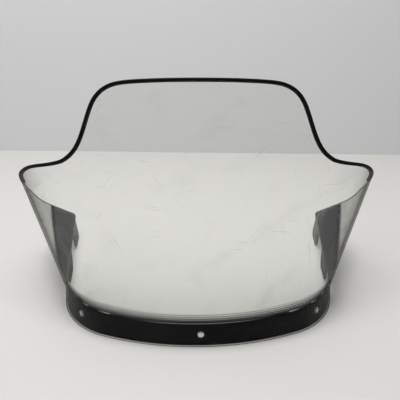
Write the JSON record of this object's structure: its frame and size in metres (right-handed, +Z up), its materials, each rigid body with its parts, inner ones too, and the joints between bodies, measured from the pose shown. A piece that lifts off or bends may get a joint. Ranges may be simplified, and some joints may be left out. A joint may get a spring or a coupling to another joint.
{
  "type": "windshield screen",
  "caption": "Wrap-around clear windshield screen with raked domed front, swept side wings, upright mounting flange, printed border, edge trim and side tabs",
  "frame": {"origin": "on the ground under the middle of the screen's overall box", "axes": "X across the screen, +Y back towards the rider, +Z up"},
  "size_m": [0.6592, 0.3719, 0.3799],
  "materials": {
    "clear_sheet": "polished",
    "border_ink": "satin",
    "trim_vinyl": "satin",
    "trim_adhesive": "matte"
  },
  "bodies": {
    "root": {"screen_sheet": "clear_sheet", "printed_border": "border_ink", "edge_trim": "trim_vinyl", "trim_adhesive": "trim_adhesive"}
  },
  "joints": []
}
